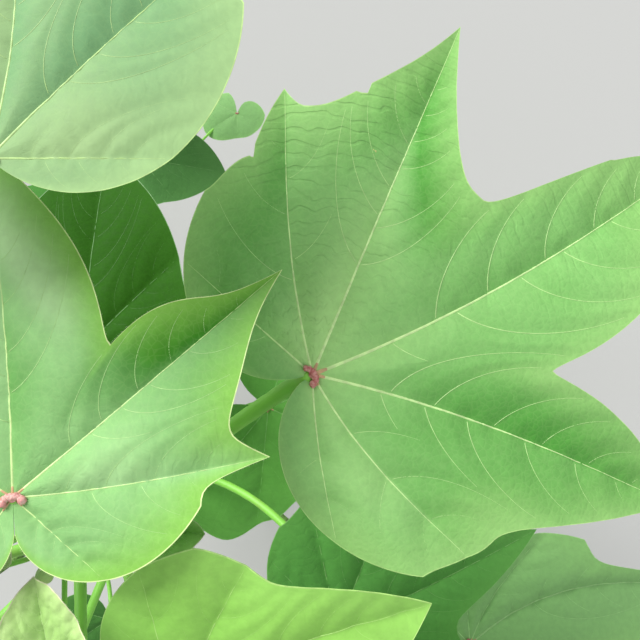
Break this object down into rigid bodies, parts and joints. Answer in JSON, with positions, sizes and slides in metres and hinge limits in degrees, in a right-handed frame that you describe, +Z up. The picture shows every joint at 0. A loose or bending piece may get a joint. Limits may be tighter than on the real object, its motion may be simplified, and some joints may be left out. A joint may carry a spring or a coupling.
{
  "type": "young cotton plant",
  "caption": "Young cotton plant rooted in the ground: upright green stem, side boughs and broad lobed leaves on long stalks.",
  "frame": {"origin": "centre of the flat cut under the foot of the stem, at ground level", "axes": "+Z up along the stem; +X and +Y are level, and seen from straight above +X points right and +Y up the picture"},
  "size_m": [0.4479, 0.4407, 0.4323],
  "materials": {
    "stem_bark": "matt green bark, finely hairy, reddish at the foot",
    "green_bough": "matt green, finely hairy",
    "leaf": "satin green blade with pale veins and a pink spot where the stalk ends",
    "young_leaf": "soft yellow green with a pale edge"
  },
  "bodies": {
    "root": {"stem": "stem_bark", "shoot_tip": "young_leaf", "bough_back": "green_bough", "bough_right": "green_bough", "bough_left": "green_bough", "leaf_stem_1": "leaf", "leaf_stem_2": "leaf", "leaf_stem_3": "leaf", "leaf_stem_4": "leaf", "leaf_stem_5": "leaf", "leaf_stem_6": "leaf", "leaf_stem_7": "leaf", "leaf_stem_8": "leaf", "leaf_stem_9": "leaf", "leaf_stem_10": "leaf", "leaf_stem_11": "leaf", "leaf_stem_12": "leaf", "leaf_stem_13": "leaf", "leaf_stem_14": "leaf", "leaf_stem_15": "leaf", "leaf_stem_16": "leaf", "leaf_back_1": "leaf", "leaf_back_2": "leaf", "leaf_back_3": "leaf", "leaf_back_4": "leaf", "leaf_right_1": "leaf", "leaf_right_2": "leaf", "leaf_right_3": "leaf", "leaf_left_1": "leaf", "leaf_left_2": "leaf", "young_leaf_1": "young_leaf", "young_leaf_2": "young_leaf", "young_leaf_3": "young_leaf"}
  },
  "joints": []
}
